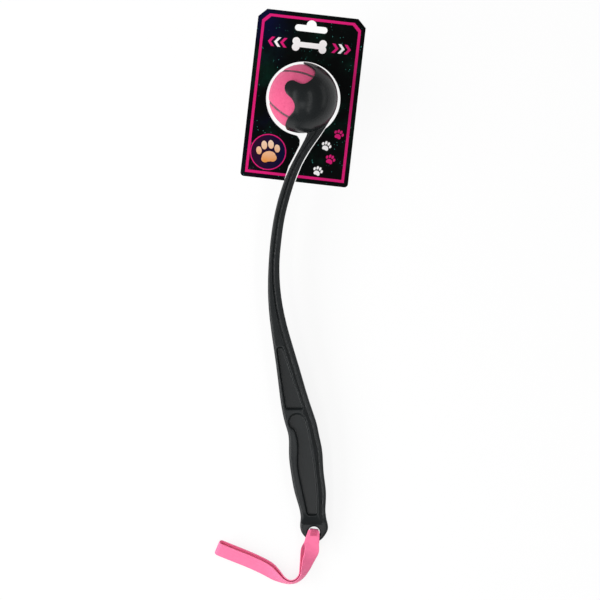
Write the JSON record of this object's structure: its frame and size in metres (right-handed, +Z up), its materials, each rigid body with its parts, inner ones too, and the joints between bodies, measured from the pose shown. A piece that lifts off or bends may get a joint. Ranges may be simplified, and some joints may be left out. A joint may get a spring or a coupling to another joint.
{
  "type": "dog ball launcher stick",
  "caption": "Curved plastic ball launcher for dogs with a felt ball in its claw cup, a moulded grip, a webbing wrist strap and its hang card",
  "frame": {"origin": "Under the middle of the whole, on the floor that the launcher lies on.", "axes": "+Y along the launcher from the strap's end to the cup, +Z up from the floor, +X to the side that the cup opens away from."},
  "size_m": [0.1464, 0.5576, 0.0686],
  "materials": {
    "moulded_plastic": "satin black moulded polypropylene",
    "ball_felt": "short pink needle felt",
    "seam_rubber": "dark grey rubber seam cement",
    "core_rubber": "black natural rubber",
    "strap_webbing": "pink woven polyester webbing",
    "sewing_thread": "bonded pink thread",
    "printed_board": "laminated board, printed near black"
  },
  "bodies": {
    "launcher": {"launcher_body": "moulded_plastic", "claw_top_jaw": "moulded_plastic", "claw_side_jaws": "moulded_plastic"},
    "ball": {"felt_panel_a": "ball_felt", "felt_panel_b": "ball_felt", "ball_seam": "seam_rubber", "ball_core_half_a": "core_rubber", "ball_core_half_b": "core_rubber"},
    "strap": {"wrist_strap": "strap_webbing", "strap_stitching": "sewing_thread"},
    "card": {"backing_card": "printed_board"}
  },
  "joints": [
    {"name": "ball_release", "type": "slide", "parent": "launcher", "child": "ball", "axis": [-0.9613, 0.2751, 0.0172], "range_m": [0, 0.09], "deforming": ["claw_top_jaw", "claw_side_jaws"]},
    {"name": "strap_swing", "type": "hinge", "parent": "launcher", "child": "strap", "pos_m": [0.02299, -0.22794, 0.00801], "axis": [0, 0, 1], "range_deg": [-45, 75]},
    {"name": "card_lift_off", "type": "slide", "parent": "launcher", "child": "card", "axis": [0, 0, 1], "range_m": [0, 0.09]}
  ]
}
